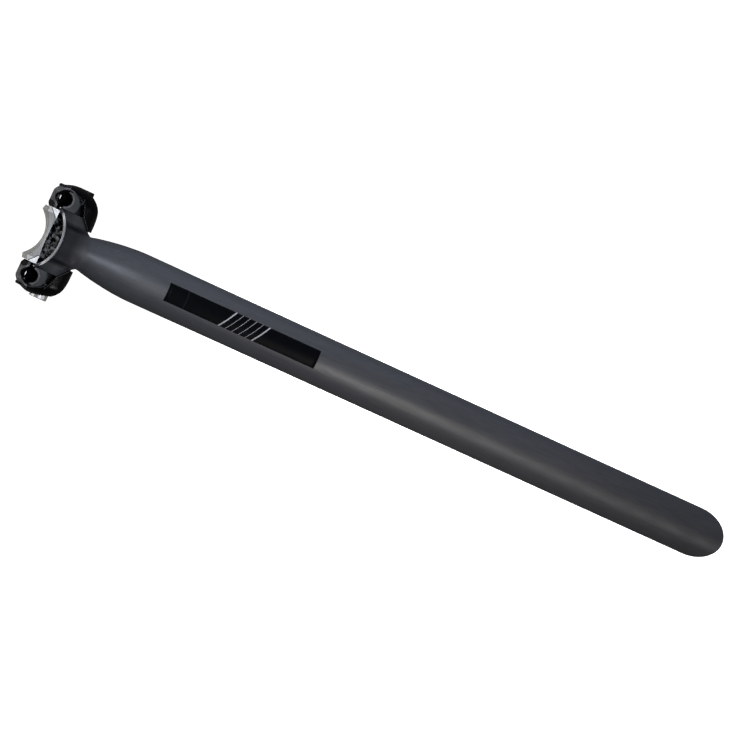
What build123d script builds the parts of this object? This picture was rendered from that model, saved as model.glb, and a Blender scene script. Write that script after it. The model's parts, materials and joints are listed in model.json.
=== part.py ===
from build123d import *
from math import cos, radians, sin, sqrt
import os

# Bicycle seatpost with a one-bolt saddle-rail clamp, in millimetres.
# X runs across the bicycle along the clamp bolt, +Y points forward and +Z runs up the post.
# The origin is on the post's axis at the minimum-insertion line.

# Post tube
post_diameter = 27.2
post_wall = 2.2
post_length = 420.0  # lowest point of the tube to the centre of the saddle rails
insertion_mark = 100.0  # lowest point of the tube to the minimum-insertion line
end_slant = 46.0  # degrees by which the lower end is cut off square
end_edge_radius = 0.5

# Neck under the head
neck_length = 33.0  # from the waist down to the full tube
neck_half_width = 9.4  # at the waist
neck_half_depth = 11.0  # at the waist
neck_flare = 1.8  # exponent of the widening towards the tube
neck_fillet = 6.0  # front and back, between neck and head
root_half_width = 11.0  # where the neck runs into the head
root_height = 3.8  # from the waist up to there
root_flare = 1.3  # exponent of the widening towards the head
waist_drop = 13.0  # bolt axis down to the waist

# Head barrel, which lies across the post around the bolt axis
head_half_width = 16.8
head_radius = 11.3
collar_radius = 10.1  # stepped ends of the barrel
collar_length = 5.8
shoulder_length = 2.8  # soft step between barrel and collar
liner_wall = 0.8
liner_bore = 16.7  # diameter
mouth_floor = 2.9  # lowest point of the concave opening in the top of the barrel, above the bolt axis
mouth_drop = 0.55  # at the barrel's ends the opening's edge is this far below the top of the liner
liner_reveal = 1.0  # the liner stands this far above the edge of the barrel

# Saddle rails
rail_diameter = 7.0
rail_spacing = 44.0
rail_rise = 11.0  # rail centre above the bolt axis

# Clearances
running_gap = 0.05  # radial, between the turning jaws and the liner
side_gap = 0.25  # between the head and the parts that turn beside it
part_gap = 0.15  # between pieces of the clamp that the bolt draws together

# Outer cheeks
cheek_radius = 13.95  # round in side view
cheek_centre = 2.45  # its centre above the bolt axis
dome_depth = 9.0  # how far the dome bulges outwards from the rail's plane
belly_half_height = 15.2  # rounded underside, as seen from behind
belly_centre = 4.4
belly_inset = 12.5  # its centre's distance from the post's axis
lip_length = 5.8  # lip that reaches under the head
lip_top = 1.0  # where the lip's slanted edge meets the head's end, below the bolt axis
lip_slope = 1.1
ridge_reach = 4.0  # the cheek's ridge meets the cradle this far outside the rail's plane
hook_rear = 9.4  # hook over the rail, behind the bolt axis
hook_front = 2.5  # and in front of it
hook_crown = 20.0  # radius of its top in side view
hook_crown_shift = 3.0  # highest point behind the bolt axis
hook_arc = 9.0  # radius of its top as seen from behind
hook_arc_x = 21.0
hook_top = 16.5  # above the bolt axis
hook_overlap = 6.5  # how far the hook reaches inwards past the rail's centre
hook_edge = 0.4
rib_radius = 1.0  # small rib on the hook's shoulder
rib_half_length = 3.2
rib_rise = 10.5  # above the dome's centre
bolt_face_x = 28.9  # flat around the bolt's head, at the bolt axis
bolt_face_slope = 0.24  # outwards for each millimetre up

# Inner jaws
cradle_wall = 1.6  # jaw outside the rail
cradle_drop = 4.6  # jaw below the rail
cradle_step = 0.6  # top of the cradle above the head's collar
foot_drop = 7.0  # bolt axis down to the lowest part of the jaw's foot
foot_half_depth = 7.4
jaw_inset = 0.25  # jaw's corners behind the surface of the cheek
cradle_rear = 9.8  # flat end behind the bolt axis
wall_height = 3.2  # wall on the inner side of the rail, above the cradle
boss_length = 5.8  # bearing length inside the liner
core_radius = 7.0
collar_corner_radius = 8.1  # twelve-sided collar
ear_top = 9.9  # flat that carries the yoke, above the bolt axis
ear_half_depth = 4.6
ear_flat_half_depth = 2.4
ear_bevel = 2.0
ear_inner = 3.5  # first ear, from the post's axis
ear_length = 3.9
second_ear_half_depth = 2.6
second_ear_drop = 0.4

# Yoke and wedges
yoke_waist_height = 0.9
yoke_end_top = 16.3  # above the bolt axis
yoke_horn = 2.6  # slanted top at each end
yoke_tip_height = 0.3
yoke_waist_half_depth = 2.6
yoke_end_half_depth = 5.3
yoke_flat_half_length = 10.7
yoke_edge = 0.35
wedge_half_depth = 4.6
wedge_height = 4.5
wedge_tip_height = 0.3
wedge_length = 4.4

# Fasteners
bolt_diameter = 6.0
bolt_clearance = 0.2  # radial
thread_gap = 0.05  # radial
seat_reach = 5.4  # washer seats, outwards from the rail's plane
seat_gap = 0.35  # radial, around the washers
washer_radius = 5.1
washer_thickness = 0.8
bolt_head_radius = 4.9
bolt_head_height = 3.4
socket_size = 5.0  # across flats
socket_depth = 2.0
nut_head_height = 2.7
nut_shank_radius = 4.2
nut_shank_length = 4.6
fastener_edge = 0.4

# Places that follow from those sizes
post_radius = post_diameter / 2
tube_bottom = -insertion_mark
bolt_z = post_length - insertion_mark - rail_rise
rail_x = rail_spacing / 2
rail_radius = rail_diameter / 2
neck_top = bolt_z - waist_drop
tube_top = neck_top - neck_length
liner_radius = liner_bore / 2 + liner_wall
mouth_rise = liner_radius - mouth_drop - mouth_floor
mouth_radius = (head_half_width**2 + mouth_rise**2) / (2 * mouth_rise)
boss_radius = liner_bore / 2 - running_gap
bolt_radius = bolt_diameter / 2
bolt_hole_radius = bolt_radius + bolt_clearance
nut_hole_radius = nut_shank_radius + bolt_clearance
jaw_face = head_half_width + side_gap
lip_bore_radius = collar_radius + side_gap
cradle_top = collar_radius + cradle_step
wedge_top = cradle_top + wedge_height
wedge_inner = yoke_flat_half_length + part_gap
yoke_half_length = wedge_inner + wedge_length
seat_x = rail_x + seat_reach
boss_inner = jaw_face - boss_length
bolt_axis = Axis((0, 0, bolt_z), (1, 0, 0))
through = 4 * cheek_radius  # longer than any cut across the clamp


def front_plane(y=0.0):
    """X across the bicycle and Z up from the bolt axis, facing the rear."""
    return Plane(origin=(0, y, bolt_z), x_dir=(1, 0, 0), z_dir=(0, -1, 0))


def side_plane(x):
    """Across the bolt axis: its own X runs forward, its own Y runs up from the bolt axis."""
    return Plane(origin=(x, 0, bolt_z), x_dir=(0, 1, 0), z_dir=(1, 0, 0))


def neck_section(share, inset):
    """Half width and half depth of the neck, at a share of its length from the tube to the waist."""
    ease = share**neck_flare
    half_width = post_radius + (neck_half_width - post_radius) * ease
    half_depth = post_radius + (neck_half_depth - post_radius) * ease
    return half_width - inset, half_depth - inset


neck_shares = [step / 12 for step in range(13)]
lower_end = Plane(
    origin=(0, -post_radius, tube_bottom),
    x_dir=(1, 0, 0),
    z_dir=(0, -sin(radians(end_slant)), cos(radians(end_slant))),
)

# The post: tube, neck and head barrel are one moulding.
with BuildPart() as post_body:
    with BuildSketch(Plane.XY.offset(tube_bottom)):
        Circle(post_radius)
    extrude(amount=tube_top - tube_bottom)
    for share in neck_shares:
        with BuildSketch(Plane.XY.offset(tube_top + share * neck_length)):
            Ellipse(*neck_section(share, 0))
    for share in (0.5, 1.0):
        half_width = neck_half_width + (root_half_width - neck_half_width) * share**root_flare
        with BuildSketch(Plane.XY.offset(neck_top + share * root_height)):
            Ellipse(half_width, neck_half_depth)
    loft()
    with BuildSketch(Plane.XY.offset(neck_top + root_height)):
        Ellipse(root_half_width, neck_half_depth)
    extrude(amount=waist_drop - root_height)
    with BuildSketch(front_plane()):
        with BuildLine():
            collar_x = head_half_width - collar_length
            shoulder_x = collar_x - shoulder_length
            Polyline((0, 0), (0, head_radius), (shoulder_x, head_radius))
            Spline(
                (shoulder_x, head_radius),
                (collar_x, collar_radius),
                tangents=[(1, 0), (1, 0)],
            )
            Polyline(
                (collar_x, collar_radius), (head_half_width, collar_radius), (head_half_width, 0), (0, 0)
            )
        make_face()
        mirror(about=Plane.YZ)
    revolve(axis=bolt_axis)
    junction = post_body.edges().filter_by(GeomType.BSPLINE).filter_by_position(
        Axis.Z, bolt_z - head_radius - 0.1, bolt_z
    )
    fillet(junction.group_by(Axis.Z)[-1], radius=neck_fillet)
    with BuildSketch(Plane.XY.offset(tube_bottom)):
        Circle(post_radius - post_wall)
    extrude(amount=tube_top - tube_bottom, mode=Mode.SUBTRACT)
    for share in neck_shares:
        with BuildSketch(Plane.XY.offset(tube_top + share * neck_length)):
            Ellipse(*neck_section(share, post_wall))
    loft(mode=Mode.SUBTRACT)
    with BuildSketch(side_plane(-head_half_width)):
        Circle(liner_radius)
    extrude(amount=2 * head_half_width, mode=Mode.SUBTRACT)
    with BuildSketch(front_plane()):
        with Locations((0, mouth_floor + mouth_radius)):
            Circle(mouth_radius)
    extrude(amount=through, both=True, mode=Mode.SUBTRACT)
    split(bisect_by=lower_end, keep=Keep.TOP)
    fillet(post_body.faces().filter_by(lower_end).edges(), radius=end_edge_radius)

with BuildPart() as head_liner:
    with BuildSketch(side_plane(-head_half_width)):
        Circle(liner_radius)
        Circle(liner_bore / 2, mode=Mode.SUBTRACT)
    extrude(amount=2 * head_half_width)
    with BuildSketch(front_plane()):
        with Locations((0, mouth_floor + mouth_radius)):
            Circle(mouth_radius - liner_reveal)
    extrude(amount=through, both=True, mode=Mode.SUBTRACT)

# Domes of the cheek and of the jaw inside it, turned around a line above the bolt axis.
dome_axis = Axis((0, 0, bolt_z + cheek_centre), (1, 0, 0))
with BuildSketch(front_plane()) as cheek_dome:
    with Locations((rail_x, cheek_centre)):
        Ellipse(dome_depth, cheek_radius)
        Rectangle(rail_x - jaw_face + lip_length, cheek_radius, align=(Align.MAX, Align.MIN))
        Rectangle(through, through, align=(Align.CENTER, Align.MAX), mode=Mode.SUBTRACT)
with BuildSketch(front_plane()) as jaw_dome:
    with Locations((rail_x, cheek_centre)):
        Ellipse(dome_depth - jaw_inset, cheek_radius - jaw_inset)
        Rectangle(rail_x - jaw_face, cheek_radius - jaw_inset, align=(Align.MAX, Align.MIN))
        Rectangle(through, through, align=(Align.CENTER, Align.MAX), mode=Mode.SUBTRACT)

# The jaw's cradle as seen from behind, and the slightly larger space for it in the cheek.
cradle_depth = cradle_drop + rail_radius
with BuildSketch(front_plane()) as cradle_profile:
    with Locations((rail_x, cradle_top)):
        Ellipse(rail_radius + cradle_wall, cradle_depth)
        Rectangle(rail_x - jaw_face, cradle_depth, align=(Align.MAX, Align.MAX))
        Rectangle(through, through, align=(Align.CENTER, Align.MIN), mode=Mode.SUBTRACT)
    with Locations((jaw_face, cradle_top)):
        Rectangle(through, through, align=(Align.MAX, Align.CENTER), mode=Mode.SUBTRACT)
with BuildSketch(front_plane()) as cradle_space:
    with Locations((rail_x, cradle_top + part_gap)):
        Ellipse(rail_radius + cradle_wall + part_gap, cradle_depth + 2 * part_gap)
        Rectangle(rail_x, cradle_depth + 2 * part_gap, align=(Align.MAX, Align.MAX))
        Rectangle(through, through, align=(Align.CENTER, Align.MIN), mode=Mode.SUBTRACT)

# The hook that each cheek puts over its rail.
with BuildPart() as rail_hook:
    with BuildSketch(front_plane(hook_front)):
        with Locations((rail_x, cheek_centre)):
            Ellipse(dome_depth, cheek_radius)
            Rectangle(hook_overlap, cheek_radius, align=(Align.MAX, Align.MIN))
        with Locations((rail_x, cradle_top + part_gap)):
            Rectangle(through, through, align=(Align.CENTER, Align.MAX), mode=Mode.SUBTRACT)
            Rectangle(rail_x, wall_height, align=(Align.MAX, Align.MIN), mode=Mode.SUBTRACT)
        with Locations((rail_x, rail_rise)):
            Circle(rail_radius, mode=Mode.SUBTRACT)
        with Locations((hook_arc_x, hook_top - hook_arc)):
            Circle(hook_arc, mode=Mode.INTERSECT)
    extrude(amount=hook_front + hook_rear)
    with BuildSketch(side_plane(0)):
        with Locations((-hook_crown_shift, hook_top - hook_crown)):
            Circle(hook_crown)
    extrude(amount=through, mode=Mode.INTERSECT)
    end_edges = rail_hook.faces().filter_by(Axis.Y).edges()
    fillet(end_edges.group_by(Axis.Z)[-1] + end_edges.filter_by(GeomType.ELLIPSE), radius=hook_edge)

# One cheek before its bolt hole; the left one is its mirror image.
with BuildPart() as cheek_blank:
    add(cheek_dome.sketch)
    revolve(axis=dome_axis)
    with BuildSketch(front_plane(through)):
        with Locations((belly_inset, belly_centre)):
            Ellipse(rail_x + dome_depth - belly_inset, belly_half_height)
            Rectangle(through, through, align=(Align.CENTER, Align.MIN))
    extrude(amount=2 * through, mode=Mode.INTERSECT)
    with BuildSketch(side_plane(0)):
        Circle(lip_bore_radius)
    extrude(amount=jaw_face, mode=Mode.SUBTRACT)
    with BuildSketch(front_plane()):
        with BuildLine():
            Polyline(
                (jaw_face, -lip_top),
                (jaw_face - lip_length - side_gap, -lip_top - lip_slope * (lip_length + side_gap)),
                (0, through),
                (jaw_face, through),
                close=True,
            )
        make_face()
    extrude(amount=through, both=True, mode=Mode.SUBTRACT)
    for y in (through, -foot_half_depth):
        with BuildSketch(front_plane(y)):
            with BuildLine():
                cradle_floor = cradle_top - cradle_depth
                Polyline(
                    (jaw_face, -lip_top),
                    (rail_x + ridge_reach, cradle_floor),
                    (jaw_face, cradle_floor),
                    close=True,
                )
            make_face()
        extrude(amount=through - foot_half_depth, mode=Mode.SUBTRACT)
    with BuildSketch(front_plane(through)):
        add(cradle_space.sketch_local)
    extrude(amount=2 * through, mode=Mode.SUBTRACT)
    with BuildSketch(side_plane(0)):
        with Locations((0, cradle_top + part_gap)):
            Rectangle(through, through, align=(Align.CENTER, Align.MIN))
    extrude(amount=through, mode=Mode.SUBTRACT)
    add(rail_hook.part)
    with BuildSketch(front_plane(rib_half_length)):
        rib_x = rail_x + dome_depth * sqrt(1 - (rib_rise / cheek_radius) ** 2)
        with Locations((rib_x, cheek_centre + rib_rise)):
            Circle(rib_radius)
    extrude(amount=2 * rib_half_length)
    with BuildSketch(side_plane(jaw_face)):
        with Locations((0, cradle_top - cradle_depth)):
            foot_height = cradle_top - cradle_depth + foot_drop
            Rectangle(
                2 * (foot_half_depth + part_gap), foot_height + part_gap, align=(Align.CENTER, Align.MAX)
            )
    extrude(amount=rail_x - jaw_face + part_gap, mode=Mode.SUBTRACT)
    with BuildSketch(side_plane(seat_x)):
        Circle(washer_radius + seat_gap)
    extrude(amount=through, mode=Mode.SUBTRACT)

with BuildPart() as outer_cheek_right:
    add(cheek_blank.part)
    with BuildSketch(side_plane(0)):
        Circle(nut_hole_radius)
    extrude(amount=through, mode=Mode.SUBTRACT)

with BuildPart() as outer_cheek_left:
    add(cheek_blank.part)
    with BuildSketch(side_plane(0)):
        Circle(bolt_hole_radius)
    extrude(amount=through, mode=Mode.SUBTRACT)
    with BuildSketch(front_plane(through)):
        with BuildLine():
            face_lean = bolt_face_slope * cheek_radius
            Polyline(
                (bolt_face_x - face_lean, -cheek_radius),
                (through, -cheek_radius),
                (through, cheek_radius),
                (bolt_face_x + face_lean, cheek_radius),
                close=True,
            )
        make_face()
    extrude(amount=2 * through, mode=Mode.SUBTRACT)
    mirror(about=Plane.YZ, mode=Mode.REPLACE)

# One jaw; the left one is its mirror image.
with BuildPart() as inner_jaw_right:
    add(jaw_dome.sketch)
    revolve(axis=dome_axis)
    with BuildSketch(front_plane(through)):
        add(cradle_profile.sketch_local)
    extrude(amount=through + cradle_rear, mode=Mode.INTERSECT)
    with BuildSketch(side_plane(jaw_face)):
        with Locations((0, cradle_top)):
            Rectangle(2 * foot_half_depth, cradle_top + foot_drop, align=(Align.CENTER, Align.MAX))
    extrude(amount=rail_x - jaw_face)
    with BuildSketch(side_plane(yoke_half_length + part_gap)):
        with Locations((0, cradle_top)):
            Rectangle(2 * wedge_half_depth, wall_height, align=(Align.CENTER, Align.MIN))
    extrude(amount=rail_x - yoke_half_length - part_gap)
    with BuildSketch(side_plane(boss_inner)):
        Circle(boss_radius)
    extrude(amount=boss_length)
    with BuildSketch(side_plane(ear_inner)):
        Circle(core_radius)
    extrude(amount=boss_inner - ear_inner)
    with BuildSketch(side_plane(ear_inner)):
        RegularPolygon(collar_corner_radius, 12, rotation=15)
        with BuildLine():
            Polyline(
                (ear_half_depth, 0),
                (ear_half_depth, ear_top - ear_bevel),
                (ear_flat_half_depth, ear_top),
                (-ear_flat_half_depth, ear_top),
                (-ear_half_depth, ear_top - ear_bevel),
                (-ear_half_depth, 0),
                close=True,
            )
        make_face()
    extrude(amount=ear_length)
    with BuildSketch(side_plane(boss_inner)):
        with Locations((0, ear_top - second_ear_drop)):
            Rectangle(2 * second_ear_half_depth, ear_top, align=(Align.CENTER, Align.MAX))
    extrude(amount=ear_inner + ear_length - boss_inner)
    with BuildSketch(front_plane()):
        with Locations((rail_x, rail_rise)):
            Circle(rail_radius)
    extrude(amount=through, both=True, mode=Mode.SUBTRACT)
    with BuildSketch(side_plane(0)):
        Circle(bolt_hole_radius)
    extrude(amount=through, mode=Mode.SUBTRACT)
    with BuildSketch(side_plane(rail_x)):
        Circle(nut_hole_radius)
    extrude(amount=through, mode=Mode.SUBTRACT)

with BuildPart() as inner_jaw_left:
    add(inner_jaw_right.part)
    mirror(about=Plane.YZ, mode=Mode.REPLACE)

with BuildPart() as spacer_sleeve:
    with BuildSketch(side_plane(-ear_inner)):
        Circle(core_radius)
        with Locations((0, ear_top - part_gap)):
            Rectangle(2 * ear_flat_half_depth, ear_top - part_gap, align=(Align.CENTER, Align.MAX))
        Circle(bolt_hole_radius, mode=Mode.SUBTRACT)
    extrude(amount=2 * ear_inner)

# The yoke bridges the head on the jaws' ears and bears on the two wedges.
wedge_slope = (wedge_height - wedge_tip_height) / wedge_length
yoke_waist_top = ear_top + yoke_waist_height
yoke_arc_end = yoke_half_length - yoke_horn
yoke_rise = yoke_end_top - yoke_waist_top
yoke_arc = (yoke_arc_end**2 + yoke_rise**2) / (2 * yoke_rise)
yoke_flare = yoke_end_half_depth - yoke_waist_half_depth
yoke_side_arc = (yoke_arc_end**2 + yoke_flare**2) / (2 * yoke_flare)
with BuildPart() as rail_yoke:
    with BuildSketch(front_plane()):
        with BuildLine():
            toe_z = cradle_top + wedge_tip_height - part_gap * wedge_slope
            Polyline(
                (0, ear_top),
                (yoke_flat_half_length, ear_top),
                (yoke_flat_half_length, toe_z),
                (yoke_half_length, wedge_top),
                (yoke_half_length, wedge_top + yoke_tip_height),
                (yoke_arc_end, yoke_end_top),
                (0, yoke_end_top),
                close=True,
            )
        make_face()
        with Locations((0, yoke_waist_top + yoke_arc)):
            Circle(yoke_arc, mode=Mode.SUBTRACT)
        mirror(about=Plane.YZ)
    extrude(amount=yoke_end_half_depth, both=True)
    with BuildSketch(Plane.XY.offset(bolt_z)):
        with Locations(
            (0, yoke_waist_half_depth + yoke_side_arc), (0, -yoke_waist_half_depth - yoke_side_arc)
        ):
            Circle(yoke_side_arc)
    extrude(amount=through, mode=Mode.SUBTRACT)
    fillet(rail_yoke.edges().filter_by(GeomType.BSPLINE), radius=yoke_edge)

with BuildPart() as rail_wedge_right:
    with BuildSketch(front_plane()):
        with BuildLine():
            Polyline(
                (wedge_inner, ear_top),
                (yoke_half_length, ear_top),
                (yoke_half_length, wedge_top),
                (wedge_inner, cradle_top + wedge_tip_height),
                close=True,
            )
        make_face()
    extrude(amount=wedge_half_depth, both=True)

with BuildPart() as rail_wedge_left:
    add(rail_wedge_right.part)
    mirror(about=Plane.YZ, mode=Mode.REPLACE)

# Cross bolt and nut with their washers.
head_x = seat_x + washer_thickness
with BuildPart() as clamp_bolt:
    with BuildSketch(side_plane(-head_x)):
        Circle(bolt_head_radius)
    extrude(amount=-bolt_head_height)
    chamfer(clamp_bolt.edges().group_by(Axis.X)[0], length=fastener_edge)
    with BuildSketch(side_plane(-head_x)):
        Circle(bolt_radius)
    extrude(amount=2 * head_x + nut_head_height)
    chamfer(clamp_bolt.edges().group_by(Axis.X)[-1], length=fastener_edge)
    with BuildSketch(side_plane(-head_x - bolt_head_height)):
        RegularPolygon(socket_size / 2, 6, major_radius=False)
    extrude(amount=socket_depth, mode=Mode.SUBTRACT)

with BuildPart() as bolt_washer:
    with BuildSketch(side_plane(-head_x)):
        Circle(washer_radius)
        Circle(bolt_hole_radius, mode=Mode.SUBTRACT)
    extrude(amount=washer_thickness)

with BuildPart() as clamp_nut:
    with BuildSketch(side_plane(head_x)):
        Circle(bolt_head_radius)
    extrude(amount=nut_head_height)
    chamfer(clamp_nut.edges().group_by(Axis.X)[-1], length=fastener_edge)
    with BuildSketch(side_plane(head_x)):
        Circle(nut_shank_radius)
    extrude(amount=-nut_shank_length)
    with BuildSketch(side_plane(0)):
        Circle(bolt_radius + thread_gap)
    extrude(amount=through, mode=Mode.SUBTRACT)

with BuildPart() as nut_washer:
    with BuildSketch(side_plane(seat_x)):
        Circle(washer_radius)
        Circle(nut_hole_radius, mode=Mode.SUBTRACT)
    extrude(amount=washer_thickness)

post_body.part.label = "post_body"
head_liner.part.label = "head_liner"
inner_jaw_left.part.label = "inner_jaw_left"
inner_jaw_right.part.label = "inner_jaw_right"
outer_cheek_left.part.label = "outer_cheek_left"
outer_cheek_right.part.label = "outer_cheek_right"
rail_yoke.part.label = "rail_yoke"
rail_wedge_left.part.label = "rail_wedge_left"
rail_wedge_right.part.label = "rail_wedge_right"
spacer_sleeve.part.label = "spacer_sleeve"
clamp_bolt.part.label = "clamp_bolt"
bolt_washer.part.label = "bolt_washer"
clamp_nut.part.label = "clamp_nut"
nut_washer.part.label = "nut_washer"

os.makedirs("parts", exist_ok=True)
export_step(post_body.part, "parts/post_body.step")
export_step(head_liner.part, "parts/head_liner.step")
export_step(inner_jaw_left.part, "parts/inner_jaw_left.step")
export_step(inner_jaw_right.part, "parts/inner_jaw_right.step")
export_step(outer_cheek_left.part, "parts/outer_cheek_left.step")
export_step(outer_cheek_right.part, "parts/outer_cheek_right.step")
export_step(rail_yoke.part, "parts/rail_yoke.step")
export_step(rail_wedge_left.part, "parts/rail_wedge_left.step")
export_step(rail_wedge_right.part, "parts/rail_wedge_right.step")
export_step(spacer_sleeve.part, "parts/spacer_sleeve.step")
export_step(clamp_bolt.part, "parts/clamp_bolt.step")
export_step(bolt_washer.part, "parts/bolt_washer.step")
export_step(clamp_nut.part, "parts/clamp_nut.step")
export_step(nut_washer.part, "parts/nut_washer.step")
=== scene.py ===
import json
import math

import bmesh
import bpy
from mathutils import Matrix, Vector


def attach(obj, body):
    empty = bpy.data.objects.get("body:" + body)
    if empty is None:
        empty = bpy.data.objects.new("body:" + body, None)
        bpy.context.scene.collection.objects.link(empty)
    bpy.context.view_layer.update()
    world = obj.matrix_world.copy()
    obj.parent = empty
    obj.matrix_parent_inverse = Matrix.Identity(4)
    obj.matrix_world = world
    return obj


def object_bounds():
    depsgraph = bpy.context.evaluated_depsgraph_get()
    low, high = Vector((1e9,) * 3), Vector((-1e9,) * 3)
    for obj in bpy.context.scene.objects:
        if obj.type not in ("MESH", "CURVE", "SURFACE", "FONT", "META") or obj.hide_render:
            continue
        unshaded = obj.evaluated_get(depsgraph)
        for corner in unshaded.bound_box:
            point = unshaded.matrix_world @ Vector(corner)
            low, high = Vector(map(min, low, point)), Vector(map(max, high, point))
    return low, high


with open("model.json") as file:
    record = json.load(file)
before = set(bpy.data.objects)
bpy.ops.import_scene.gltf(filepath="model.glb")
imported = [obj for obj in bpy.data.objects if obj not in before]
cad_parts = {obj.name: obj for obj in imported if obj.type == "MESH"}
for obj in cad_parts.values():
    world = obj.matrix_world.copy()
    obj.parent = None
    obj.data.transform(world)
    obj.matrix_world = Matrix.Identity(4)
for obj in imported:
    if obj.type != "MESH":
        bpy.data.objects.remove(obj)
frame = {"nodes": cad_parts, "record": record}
cad_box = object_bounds()
nodes = frame["nodes"]


def linear(grey):
    """The linear value of an sRGB grey from 0 to 255."""
    v = grey / 255
    return v / 12.92 if v <= 0.04045 else ((v + 0.055) / 1.055) ** 2.4


def shade(red, green, blue):
    """A colour from its sRGB values, each from 0 to 255."""
    return (linear(red), linear(green), linear(blue), 1.0)


# Places in the frame, in metres: X along the clamp bolt, Y forward, Z up the post.
mounts = {m["name"]: m for m in frame["record"]["mounts"]}
tube_radius = mounts["post_shaft"]["dims"]["r_mm"] / 1000
rail_x = mounts["rail_right"]["pos_m"][0]
rail_z = mounts["rail_right"]["pos_m"][2]
rail_radius = mounts["rail_right"]["dims"]["r_mm"] / 1000

# The photo's camera: behind the post and above it, rolled so that the post lies across the picture
CAMERA_DISTANCE = 3.70
CAMERA_ELEVATION = math.radians(19.5)
CAMERA_ROLL = math.radians(24.54)
CAMERA_AIM = Vector((0.0068, 0.0, 0.12305))
CAMERA_CLIP_END = 100
PIXELS_PER_METRE = 1866.0
IMAGE_SIZE = 740
SENSOR_MM = 36.0

# All materials. Scales of noise are per metre, and bumps are a strength and a height.
NOISE_DETAIL = 4.0
NOISE_ROUGHNESS = 0.55
NOISE_LOW = 0.3
NOISE_HIGH = 0.7
EVEN = (1, 1, 1)
EDGE_RADIUS = 0.0003
EDGE_SAMPLES = 6
EDGE_COSINE = 0.93
EDGE_SOFT = 0.13
# Ambient occlusion, for painted shade in narrow joints and corners
OCCLUSION_DISTANCE = 0.0012
OCCLUSION_SAMPLES = 8
OCCLUSION_LEVEL = 0.55
OCCLUSION_SOFT = 0.5
# Black for painted shade: in rail channels, in narrow joints and corners, and along the wedges' joints
PAINTED_SHADE_BLACK = shade(5, 5, 6)

# Carbon
CARBON_DARK = shade(50, 51, 55)
CARBON_LIGHT = shade(60, 61, 65)
CARBON_CLOUD = shade(62, 63, 68)
# The head's colours, painted darker than the tube as painted shade, least at its barrel's ends
CARBON_HEAD_SHADE = shade(12, 13, 15)
CARBON_END = shade(40, 41, 43)
FIBRE_SCALE = 1400
FIBRE_STRETCH = (1, 1, 0.06)
FIBRE_BUMP = (0.08, 0.0002)
CLOUD_SCALE = 60
CLOUD_STRETCH = (1, 1, 0.25)
CLOUD_SHARE = 0.35
LACQUER_SCALE = 220
LACQUER_STRETCH = (1, 1, 0.3)
LACQUER_ROUGH = (0.42, 0.52)
LACQUER_SPECULAR = 0.45
BARREL_END_X = 0.0117
BARREL_END_BLEND = 0.0015
# Where the head's painted shade and duller finish begin
HEAD_SHADE_AND_FINISH_Z = 0.3005
HEAD_SHADE_AND_FINISH_BLEND = 0.016
HEAD_LESS_SPECULAR = 0.3
HEAD_MORE_ROUGH = 0.12
LOWER_FINISH_Z = 0.02
LOWER_FINISH_BLEND = 0.2
LOWER_MORE_ROUGH = 0.05

# Black alloy
BLACK_GRAIN_SCALE = 900
BLACK_BUMP = (0.1, 0.0001)
BLACK_ROUGH_SCALE = 350
# Noise on the lighter edges of black alloy, which are partly wear and partly painted highlight
WEAR_AND_HIGHLIGHT_SCALE = 420
WEAR_AND_HIGHLIGHT_RANGE = (0.35, 1.0)
RAIL_SOFT = 0.0002
GROOVE_GAP = 0.0002
# A painted highlight along the edge of the jaw's rail groove
GROOVE_HIGHLIGHT_INNER = 0.0040
GROOVE_HIGHLIGHT_OUTER = 0.0047
GROOVE_HIGHLIGHT_SCALE = 300
GROOVE_HIGHLIGHT_RANGE = (0.3, 1.0)
# Painted shade on the jaws outside a crescent around the rail
CRESCENT_RADIUS = 0.0086
CRESCENT_SOFT = 0.0016
CRESCENT_SHADE = 0.8
CORE_HALF = 0.0112
CORE_SOFT = 0.0008
# Random lighter patches in the core
CORE_PATCHES = 360
CORE_PATCH_LEVEL = 0.52
CORE_PATCH_SOFT = 0.14
# Random dark patches in the core
CORE_DARK_PATCHES = 430
CORE_DARK_PATCH_LEVEL = 0.50
CORE_DARK_PATCH_SOFT = 0.08
# Painted shade in the cheek's rail channel, and a painted highlight on the lip around it
CHEEK_CHANNEL_RADIUS = 0.0051
CHEEK_LIP_RADIUS = 0.0061
CHEEK_LIP_SCALE = 500
CHEEK_LIP_RANGE = (0.3, 0.9)
# Streaks in the cheek's channel left free of painted shade
UNSHADED_STREAK_SCALE = 330
UNSHADED_STREAK_STRETCH = (1, 0.5, 1)
UNSHADED_STREAK_LEVEL = 0.62
UNSHADED_STREAK_SOFT = 0.04

# Bare alloy
# A painted highlight on the edges of bare alloy
EDGE_HIGHLIGHT = shade(205, 205, 206)
EDGE_HIGHLIGHT_SHARE = 0.6
BARE_BUMP = (0.15, 0.0001)
BARE_ROUGH_COARSER = 3
# A line of painted shade along each wedge's joint to the yoke
WEDGE_INNER = 0.01085
WEDGE_JOINT_Z = 0.3200
WEDGE_SLOPE = 0.9545
WEDGE_LINE = 0.0008

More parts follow.
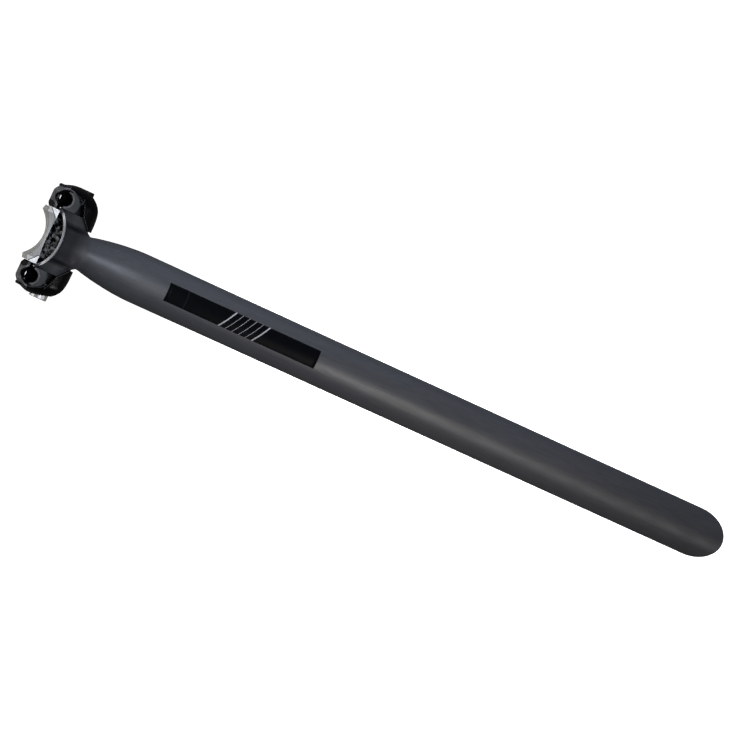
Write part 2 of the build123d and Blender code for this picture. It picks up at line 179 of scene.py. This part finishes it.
# Print on the back of the tube
PRINT_BOTTOM = 0.1570
PRINT_TOP = 0.2493
PRINT_HALF_ANGLE = math.radians(22.3)
PRINT_PROUD = 0.00005
PRINT_COLUMNS = 24
PRINT_ROWS = 40
PRINT_SOFT = 0.0002
PRINT_SPECK_SCALE = 2600
PRINT_ROUGH_SCALE = 300
PRINT_ROUGH = (0.3, 0.4)
PRINT_SPECULAR = 0.02
PRINT_BUMP_SCALE = 900
PRINT_BUMP = (0.05, 0.0001)
OUTLINE_WIDTH = 0.00025
DIVIDER_Z = 0.2376
DIVIDER_HALF = 0.00018
LINE_COUNT = 6
LINE_FIRST = 0.2122
LINE_SPACING = 0.00408
LINE_SLOPE = 0.64
LINE_HALF_THIN = 0.00013
LINE_HALF_THICK = 0.00042
LINE_COUNT_SOFT = 0.1
PRINT_BLACK = shade(5, 6, 8)
PRINT_BLACK_LIGHT = shade(9, 10, 13)
PRINT_OUTLINE = shade(27, 28, 31)
PRINT_LINE = shade(150, 151, 154)

# Light and floor
WHITE = (1.0, 1.0, 1.0)
COOL = (0.91, 0.97, 1.10)
WARM = (1.04, 1.0, 0.95)
WORLD_STRENGTH = 0.09
FLOOR_GAP = 0.01
FLOOR_SIZE = 40.0
FLOOR_COLOUR = (0.9, 0.9, 0.9, 1)
FLOOR_ROUGH = 0.9
FLOOR_GLOW = 1.0


class Material:
    """A node material with a Principled shader and short ways to add what varies over it."""

    def __init__(self, name, **sockets):
        self.material = bpy.data.materials.new(name)
        self.material.use_nodes = True
        self.tree = self.material.node_tree
        self.shader = self.tree.nodes["Principled BSDF"]
        for socket, value in sockets.items():
            self.shader.inputs[socket.replace("_", " ")].default_value = value

    def node(self, kind, **settings):
        made = self.tree.nodes.new(kind)
        for name, value in settings.items():
            if hasattr(made, name):
                setattr(made, name, value)
            else:
                made.inputs[name.replace("_", " ")].default_value = value
        return made

    def link(self, source, target):
        self.tree.links.new(source, target)

    def place(self, scale=EVEN):
        """Position on the object in metres, stretched by scale."""
        coordinates = self.node("ShaderNodeTexCoord")
        mapping = self.node("ShaderNodeMapping", Scale=scale)
        self.link(coordinates.outputs["Object"], mapping.inputs["Vector"])
        return mapping.outputs["Vector"]

    def position(self):
        """Position on the object in metres, by its X, Y and Z."""
        split = self.node("ShaderNodeSeparateXYZ")
        self.link(self.place(), split.inputs["Vector"])
        return split.outputs

    def noise(self, scale, stretch=EVEN):
        texture = self.node(
            "ShaderNodeTexNoise", Scale=scale, Detail=NOISE_DETAIL, Roughness=NOISE_ROUGHNESS
        )
        self.link(self.place(stretch), texture.inputs["Vector"])
        return texture.outputs["Fac"]

    def ramp(self, factor, low, high):
        """Colours low to high as factor goes over the middle of a noise's range."""
        made = self.node("ShaderNodeValToRGB")
        stops = made.color_ramp.elements
        for stop, level, colour in zip(stops, (NOISE_LOW, NOISE_HIGH), (low, high)):
            stop.position = level
            stop.color = colour
        self.link(factor, made.inputs["Fac"])
        return made.outputs["Color"]

    def spread(self, factor, low, high):
        """Values low to high as factor goes over the middle of a noise's range."""
        made = self.node(
            "ShaderNodeMapRange", From_Min=NOISE_LOW, From_Max=NOISE_HIGH, To_Min=low, To_Max=high
        )
        self.link(factor, made.inputs["Value"])
        return made.outputs["Result"]

    def math(self, operation, *values):
        """One math node; numbers go straight into its sockets."""
        made = self.node("ShaderNodeMath", operation=operation)
        for socket, value in zip(made.inputs, values):
            if isinstance(value, (int, float)):
                socket.default_value = value
            else:
                self.link(value, socket)
        return made.outputs["Value"]

    def both(self, factor, first, second):
        """Colour first where factor is 0 and second where it is 1."""
        made = self.node("ShaderNodeMix", data_type="RGBA")
        self.link(factor, made.inputs["Factor"])
        colour_inputs = [socket for socket in made.inputs if socket.type == "RGBA"]
        for socket, value in zip(colour_inputs, (first, second)):
            if isinstance(value, tuple):
                socket.default_value = value
            else:
                self.link(value, socket)
        return next(socket for socket in made.outputs if socket.type == "RGBA")

    def above(self, value, edge, soft):
        """0 below edge and 1 above it, softly."""
        made = self.node(
            "ShaderNodeMapRange",
            interpolation_type="SMOOTHSTEP",
            From_Min=edge - soft / 2,
            From_Max=edge + soft / 2,
        )
        self.link(value, made.inputs["Value"])
        return made.outputs["Result"]

    def below(self, value, edge, soft):
        """1 below edge and 0 above it, softly."""
        return self.math("SUBTRACT", 1.0, self.above(value, edge, soft))

    def edges(self):
        """1 on sharp edges and 0 on open surfaces."""
        rounded = self.node("ShaderNodeBevel", samples=EDGE_SAMPLES, Radius=EDGE_RADIUS)
        geometry = self.node("ShaderNodeNewGeometry")
        dot = self.node("ShaderNodeVectorMath", operation="DOT_PRODUCT")
        self.link(rounded.outputs["Normal"], dot.inputs[0])
        self.link(geometry.outputs["Normal"], dot.inputs[1])
        return self.below(dot.outputs["Value"], EDGE_COSINE, EDGE_SOFT)

    def open_surface(self):
        """Ambient occlusion, which places painted shade: 0 in narrow joints and corners and 1 on open
        surfaces.
        """
        occlusion = self.node("ShaderNodeAmbientOcclusion", samples=OCCLUSION_SAMPLES, Distance=OCCLUSION_DISTANCE)
        return self.above(occlusion.outputs["AO"], OCCLUSION_LEVEL, OCCLUSION_SOFT)

    def colour(self, output):
        self.link(output, self.shader.inputs["Base Color"])

    def rough(self, output):
        self.link(output, self.shader.inputs["Roughness"])

    def specular(self, output):
        self.link(output, self.shader.inputs["Specular IOR Level"])

    def bump(self, height, strength, distance):
        made = self.node("ShaderNodeBump", Strength=strength, Distance=distance)
        self.link(height, made.inputs["Height"])
        self.link(made.outputs["Normal"], self.shader.inputs["Normal"])

    def on(self, *objects):
        for o in objects:
            o.data.materials.clear()
            o.data.materials.append(self.material)


def carbon_material():
    """Matte lacquer over fibres; on the head its colour is painted darker as painted shade, with paler ends
    on its barrel, and it is duller there.
    """
    m = Material("matte carbon")
    fibres = m.noise(FIBRE_SCALE, FIBRE_STRETCH)
    clouds = m.spread(m.noise(CLOUD_SCALE, CLOUD_STRETCH), 0.0, CLOUD_SHARE)
    skin = m.both(clouds, m.ramp(fibres, CARBON_DARK, CARBON_LIGHT), CARBON_CLOUD)
    place = m.position()
    head = m.above(place["Z"], HEAD_SHADE_AND_FINISH_Z, HEAD_SHADE_AND_FINISH_BLEND)
    ends = m.above(m.math("ABSOLUTE", place["X"]), BARREL_END_X, BARREL_END_BLEND)
    m.colour(m.both(head, skin, m.both(ends, CARBON_HEAD_SHADE, CARBON_END)))
    m.specular(m.math("SUBTRACT", LACQUER_SPECULAR, m.math("MULTIPLY", head, HEAD_LESS_SPECULAR)))
    lower = m.below(place["Z"], LOWER_FINISH_Z, LOWER_FINISH_BLEND)
    duller = m.math(
        "ADD", m.math("MULTIPLY", head, HEAD_MORE_ROUGH), m.math("MULTIPLY", lower, LOWER_MORE_ROUGH)
    )
    m.rough(m.math("ADD", m.spread(m.noise(LACQUER_SCALE, LACQUER_STRETCH), *LACQUER_ROUGH), duller))
    m.bump(fibres, *FIBRE_BUMP)
    return m


def black_alloy_material(name, body, wear_and_highlight, rough, specular, shaded, lightened):
    """Black alloy with lighter edges, partly wear and partly painted highlight, and painted shade in joints
    and corners.
    The shading function is 1 where painted shade makes it black, and the lightening one where its open
    surface is lighter too."""
    m = Material(name)
    grain = m.noise(BLACK_GRAIN_SCALE)
    edge = m.math("MULTIPLY", m.edges(), m.spread(m.noise(WEAR_AND_HIGHLIGHT_SCALE), *WEAR_AND_HIGHLIGHT_RANGE))
    wear_and_highlight_mask = m.math("MAXIMUM", edge, lightened(m))
    unshaded = m.math("MULTIPLY", m.open_surface(), m.math("SUBTRACT", 1.0, shaded(m)))
    m.colour(m.both(unshaded, PAINTED_SHADE_BLACK, m.both(wear_and_highlight_mask, m.ramp(grain, *body), wear_and_highlight)))
    m.specular(m.math("MULTIPLY", unshaded, specular))
    m.rough(m.spread(m.noise(BLACK_ROUGH_SCALE), *rough))
    m.bump(grain, *BLACK_BUMP)
    return m


def near_rail(m, radius, soft=RAIL_SOFT):
    """1 within a radius of the middle of a saddle rail, with a soft edge."""
    place = m.position()
    across = m.math("SUBTRACT", m.math("ABSOLUTE", place["X"]), rail_x)
    height = m.math("SUBTRACT", place["Z"], rail_z)
    squares = m.math("ADD", m.math("MULTIPLY", across, across), m.math("MULTIPLY", height, height))
    return m.below(m.math("SQRT", squares), radius, soft)


def around_rail(m, inner, outer):
    """1 in a ring around the middle of a saddle rail."""
    return m.math("SUBTRACT", near_rail(m, outer), near_rail(m, inner))


def core(m):
    """1 between the two jaws' cradles, under the yoke."""
    return m.below(m.math("ABSOLUTE", m.position()["X"]), CORE_HALF, CORE_SOFT)


def jaw_shade_and_patches(m):
    """Painted shade in the rail's groove and on the wall beside it, random dark patches in the core and,
    partly, painted shade outside the crescent.
    """
    wall = m.above(m.position()["Z"], rail_z - GROOVE_GAP, RAIL_SOFT)
    groove = m.math("MAXIMUM", wall, near_rail(m, rail_radius + GROOVE_GAP))
    inside = core(m)
    dark_patches = m.math("MULTIPLY", inside, m.above(m.noise(CORE_DARK_PATCHES), CORE_DARK_PATCH_LEVEL, CORE_DARK_PATCH_SOFT))
    kept = m.math("MAXIMUM", inside, near_rail(m, CRESCENT_RADIUS, CRESCENT_SOFT))
    outside = m.math("MULTIPLY", m.math("SUBTRACT", 1.0, kept), CRESCENT_SHADE)
    return m.math("MAXIMUM", groove, m.math("MAXIMUM", dark_patches, outside))


def jaw_highlight_and_patches(m):
    """Random lighter patches in the core and a painted highlight along the edge of the rail's groove."""
    patches = m.math("MULTIPLY", core(m), m.above(m.noise(CORE_PATCHES), CORE_PATCH_LEVEL, CORE_PATCH_SOFT))
    edge = around_rail(m, GROOVE_HIGHLIGHT_INNER, GROOVE_HIGHLIGHT_OUTER)
    wear_and_highlight = m.math("MULTIPLY", edge, m.spread(m.noise(GROOVE_HIGHLIGHT_SCALE), *GROOVE_HIGHLIGHT_RANGE))
    return m.math("MAXIMUM", patches, wear_and_highlight)


def cheek_channel_shade(m):
    """Painted shade in the rail's channel, apart from some streaks left free of it."""
    unshaded_streaks = m.above(m.noise(UNSHADED_STREAK_SCALE, UNSHADED_STREAK_STRETCH), UNSHADED_STREAK_LEVEL, UNSHADED_STREAK_SOFT)
    return m.math("SUBTRACT", near_rail(m, CHEEK_CHANNEL_RADIUS), unshaded_streaks)


def cheek_lip_highlight(m):
    """A painted highlight on the lip around the rail's channel."""
    lip = around_rail(m, CHEEK_CHANNEL_RADIUS + RAIL_SOFT, CHEEK_LIP_RADIUS)
    return m.math("MULTIPLY", lip, m.spread(m.noise(CHEEK_LIP_SCALE), *CHEEK_LIP_RANGE))


def bare_alloy_material(name, body, rough, grain_scale, metallic, stretch=EVEN, shaded=None):
    """Bare alloy with a painted highlight on its edges and painted shade in joints and corners; the shading
    function, if given, is 1 where a line of painted shade on it is black.
    """
    m = Material(name, Metallic=metallic)
    grain = m.noise(grain_scale, stretch)
    edge = m.math("MULTIPLY", m.edges(), EDGE_HIGHLIGHT_SHARE)
    paint = m.both(m.open_surface(), PAINTED_SHADE_BLACK, m.both(edge, m.ramp(grain, *body), EDGE_HIGHLIGHT))
    m.colour(m.both(shaded(m), paint, PAINTED_SHADE_BLACK) if shaded else paint)
    m.rough(m.spread(m.noise(grain_scale / BARE_ROUGH_COARSER, stretch), *rough))
    m.bump(grain, *BARE_BUMP)
    return m


def wedge_joint_shade(m):
    """The line of painted shade along a wedge's joint to the yoke."""
    place = m.position()
    rise = m.math("MULTIPLY", m.math("ABSOLUTE", place["X"]), WEDGE_SLOPE)
    joint_z = m.math("ADD", rise, WEDGE_JOINT_Z - WEDGE_SLOPE * WEDGE_INNER)
    return m.below(m.math("SUBTRACT", joint_z, place["Z"]), WEDGE_LINE, WEDGE_LINE / 2)


def print_material():
    """Black print with a thin outline, a bare cell at its upper end and six slanted lines."""
    m = Material("gloss print", Specular_IOR_Level=PRINT_SPECULAR)
    place = m.position()
    arc = m.math("MULTIPLY", m.math("ARCTAN2", place["X"], m.math("MULTIPLY", place["Y"], -1.0)), tube_radius)
    slanted = m.math("ADD", place["Z"], m.math("MULTIPLY", arc, LINE_SLOPE))
    count = m.math("DIVIDE", m.math("SUBTRACT", LINE_FIRST, slanted), LINE_SPACING)
    nearest = m.math("MINIMUM", m.math("MAXIMUM", m.math("ROUND", count), 0.0), LINE_COUNT - 1.0)
    off = m.math("MULTIPLY", m.math("ABSOLUTE", m.math("SUBTRACT", count, nearest)), LINE_SPACING)
    from_middle = m.math("ABSOLUTE", m.math("SUBTRACT", nearest, (LINE_COUNT - 1) / 2))
    outer = m.above(from_middle, (LINE_COUNT - 2) / 2, LINE_COUNT_SOFT)
    half = m.math("ADD", LINE_HALF_THIN, m.math("MULTIPLY", outer, LINE_HALF_THICK - LINE_HALF_THIN))
    lines = m.below(m.math("SUBTRACT", off, half), 0.0, PRINT_SOFT)
    divider = m.below(
        m.math("ABSOLUTE", m.math("SUBTRACT", place["Z"], DIVIDER_Z)), DIVIDER_HALF, PRINT_SOFT
    )
    side = m.above(m.math("ABSOLUTE", arc), PRINT_HALF_ANGLE * tube_radius - OUTLINE_WIDTH, PRINT_SOFT)
    end = m.above(
        m.math("ABSOLUTE", m.math("SUBTRACT", place["Z"], (PRINT_TOP + PRINT_BOTTOM) / 2)),
        (PRINT_TOP - PRINT_BOTTOM) / 2 - OUTLINE_WIDTH,
        PRINT_SOFT,
    )
    faint = m.math("MAXIMUM", divider, m.math("MAXIMUM", side, end))
    specks = m.ramp(m.noise(PRINT_SPECK_SCALE), PRINT_BLACK, PRINT_BLACK_LIGHT)
    m.colour(m.both(lines, m.both(faint, specks, PRINT_OUTLINE), PRINT_LINE))
    m.rough(m.spread(m.noise(PRINT_ROUGH_SCALE), *PRINT_ROUGH))
    m.bump(m.noise(PRINT_BUMP_SCALE), *PRINT_BUMP)
    return m


def add_object(name, data):
    made = bpy.data.objects.new(name, data)
    bpy.context.scene.collection.objects.link(made)
    return made


def print_patch():
    """A thin curved skin on the tube, its middle facing the back."""
    builder = bmesh.new()
    skins = []
    for radius in (tube_radius + PRINT_PROUD, tube_radius - PRINT_PROUD):
        skin = []
        for row in range(PRINT_ROWS + 1):
            z = PRINT_BOTTOM + (PRINT_TOP - PRINT_BOTTOM) * row / PRINT_ROWS
            skin.append([])
            for column in range(PRINT_COLUMNS + 1):
                angle = PRINT_HALF_ANGLE * (2 * column / PRINT_COLUMNS - 1)
                corner = (radius * math.sin(angle), -radius * math.cos(angle), z)
                skin[-1].append(builder.verts.new(corner))
        skins.append(skin)
    for skin, outward in zip(skins, (True, False)):
        for lower, upper in zip(skin, skin[1:]):
            for column in range(PRINT_COLUMNS):
                corners = [lower[column], lower[column + 1], upper[column + 1], upper[column]]
                builder.faces.new(corners if outward else corners[::-1]).smooth = True
    rim = [(0, c) for c in range(PRINT_COLUMNS)] + [(r, PRINT_COLUMNS) for r in range(PRINT_ROWS)]
    rim += [(PRINT_ROWS, c) for c in range(PRINT_COLUMNS, 0, -1)] + [(r, 0) for r in range(PRINT_ROWS, 0, -1)]
    top, under = skins
    for (r0, c0), (r1, c1) in zip(rim, rim[1:] + rim[:1]):
        builder.faces.new((top[r1][c1], top[r0][c0], under[r0][c0], under[r1][c1]))
    mesh = bpy.data.meshes.new("print")
    builder.to_mesh(mesh)
    builder.free()
    return add_object("print", mesh)


carbon_material().on(nodes["post_body"])
bare_alloy_material(
    "machined liner",
    body=(shade(150, 151, 153), shade(168, 169, 171)),
    rough=(0.4, 0.5),
    grain_scale=2500,
    metallic=0.35,
    stretch=(0.1, 1, 1),
).on(nodes["head_liner"])
# The jaws: painted shade in the rail groove, in joints and partly outside a crescent; painted highlight on
# edges and along the groove
black_alloy_material(
    "anodised jaw",
    body=(shade(13, 15, 15), shade(20, 22, 22)),
    wear_and_highlight=shade(90, 90, 90),
    rough=(0.42, 0.52),
    specular=0.25,
    shaded=jaw_shade_and_patches,
    lightened=jaw_highlight_and_patches,
).on(nodes["inner_jaw_left"], nodes["inner_jaw_right"], nodes["spacer_sleeve"])
# The cheeks and nut: painted shade in the rail channel and joints; painted highlight on edges and on the
# channel's lip
black_alloy_material(
    "satin cheek",
    body=(shade(2, 2, 3), shade(4, 4, 5)),
    wear_and_highlight=shade(96, 97, 98),
    rough=(0.22, 0.32),
    specular=0.1,
    shaded=cheek_channel_shade,
    lightened=cheek_lip_highlight,
).on(nodes["outer_cheek_left"], nodes["outer_cheek_right"], nodes["clamp_nut"])
bare_alloy_material(
    "blasted yoke",
    body=(shade(138, 137, 134), shade(166, 165, 161)),
    rough=(0.5, 0.6),
    grain_scale=1800,
    metallic=0.5,
).on(nodes["rail_yoke"])
bare_alloy_material(
    "machined wedge",
    body=(shade(156, 155, 151), shade(182, 181, 177)),
    rough=(0.4, 0.5),
    grain_scale=2200,
    metallic=0.5,
    stretch=(1, 0.2, 1),
    shaded=wedge_joint_shade,
).on(nodes["rail_wedge_left"], nodes["rail_wedge_right"])
bare_alloy_material(
    "plated steel",
    body=(shade(150, 149, 146), shade(180, 179, 176)),
    rough=(0.3, 0.4),
    grain_scale=1500,
    metallic=0.5,
).on(nodes["clamp_bolt"], nodes["bolt_washer"], nodes["nut_washer"])
print_skin = print_patch()
print_material().on(print_skin)
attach(print_skin, "post")

# Camera
forward = Vector((0, math.cos(CAMERA_ELEVATION), -math.sin(CAMERA_ELEVATION)))
post_up = Vector((0, math.sin(CAMERA_ELEVATION), math.cos(CAMERA_ELEVATION)))
bolt_side = Vector((1, 0, 0))
right = math.sin(CAMERA_ROLL) * bolt_side - math.cos(CAMERA_ROLL) * post_up
up = math.cos(CAMERA_ROLL) * bolt_side + math.sin(CAMERA_ROLL) * post_up
camera_data = bpy.data.cameras.new("camera")
camera_data.sensor_width = SENSOR_MM
camera_data.lens = PIXELS_PER_METRE * CAMERA_DISTANCE / IMAGE_SIZE * SENSOR_MM
camera_data.clip_end = CAMERA_CLIP_END
camera = add_object("camera", camera_data)
camera_turn = Matrix((right, up, -forward)).transposed().to_4x4()
camera.matrix_world = Matrix.Translation(CAMERA_AIM - CAMERA_DISTANCE * forward) @ camera_turn
bpy.context.scene.camera = camera


def soft_light(name, direction, distance, size, power, colour, slide, aim, turn=0.0, shine=True):
    """A soft box in a direction from the post, given as the photo's right, up and towards the camera.

    size is across and along the post. slide moves the box up the post and aim is the place on the post that
    it faces, both from the camera's aim. turn swings the box in its own plane, and shine says if it shows in
    reflections."""
    to_right, to_up, to_camera = direction
    centre = CAMERA_AIM + distance * (to_right * right + to_up * up - to_camera * forward)
    centre += Vector((0, 0, slide))
    back = (centre - CAMERA_AIM - Vector((0, 0, aim))).normalized()
    data = bpy.data.lights.new(name, "AREA")
    data.shape = "RECTANGLE"
    data.size, data.size_y = size
    data.energy = power
    data.color = colour
    light = add_object(name, data)
    side = Vector((0, 0, 1)).cross(back).normalized()
    facing = Matrix((side, back.cross(side), back)).transposed() @ Matrix.Rotation(turn, 3, "Z")
    light.matrix_world = Matrix.Translation(centre) @ facing.to_4x4()
    light.visible_glossy = shine


# A broad key from the upper side of the picture
soft_light(
    "key",
    direction=(-0.25, 0.90, 0.36),
    distance=0.65,
    size=(0.5, 0.4),
    power=2.5,
    colour=COOL,
    slide=-0.41,
    aim=0.02,
    shine=False,
)
# Three small boxes near the post, for the streak along its lower side and the highlight on its neck
soft_light(
    "streak",
    direction=(0.42, -0.60, 0.68),
    distance=0.3,
    size=(0.05, 0.15),
    power=0.38,
    colour=WARM,
    slide=0.040,
    aim=0.023,
    turn=math.radians(60),
)
soft_light(
    "tail",
    direction=(0.42, -0.66, 0.62),
    distance=0.3,
    size=(0.12, 0.25),
    power=0.38,
    colour=WARM,
    slide=-0.14,
    aim=-0.156,
)
soft_light(
    "neck",
    direction=(0.47, -0.214, 0.857),
    distance=0.25,
    size=(0.09, 0.12),
    power=0.38,
    colour=COOL,
    slide=0.212,
    aim=0.197,
)
# One over the head, and a fill for the side that the photo doesn't show
soft_light(
    "head",
    direction=(-0.9, 0.35, 0.3),
    distance=0.7,
    size=(0.4, 0.4),
    power=4.0,
    colour=WHITE,
    slide=0.2,
    aim=0.2,
)
soft_light(
    "fill",
    direction=(-0.4, 0.18, -0.9),
    distance=0.9,
    size=(0.6, 0.6),
    power=13.0,
    colour=WHITE,
    slide=0.25,
    aim=0.0,
    shine=False,
)

world = bpy.data.worlds.new("studio")
bpy.context.scene.world = world
world.use_nodes = True
background = world.node_tree.nodes["Background"]
background.inputs["Color"].default_value = (*WHITE, 1)
background.inputs["Strength"].default_value = WORLD_STRENGTH

# Floor, under the post's lower end. It only shows: it throws no light on the post.
floor_mesh = bpy.data.meshes.new("floor")
builder = bmesh.new()
bmesh.ops.create_grid(builder, x_segments=1, y_segments=1, size=FLOOR_SIZE / 2)
builder.to_mesh(floor_mesh)
builder.free()
floor = add_object("floor", floor_mesh)
floor.location.z = cad_box[0][2] - FLOOR_GAP
floor.visible_diffuse = False
floor.visible_glossy = False
floor_look = Material(
    "white sweep",
    Base_Color=FLOOR_COLOUR,
    Roughness=FLOOR_ROUGH,
    Emission_Color=(*WHITE, 1),
    Emission_Strength=FLOOR_GLOW,
)
floor_look.on(floor)

bpy.context.scene.view_settings.view_transform = "Standard"
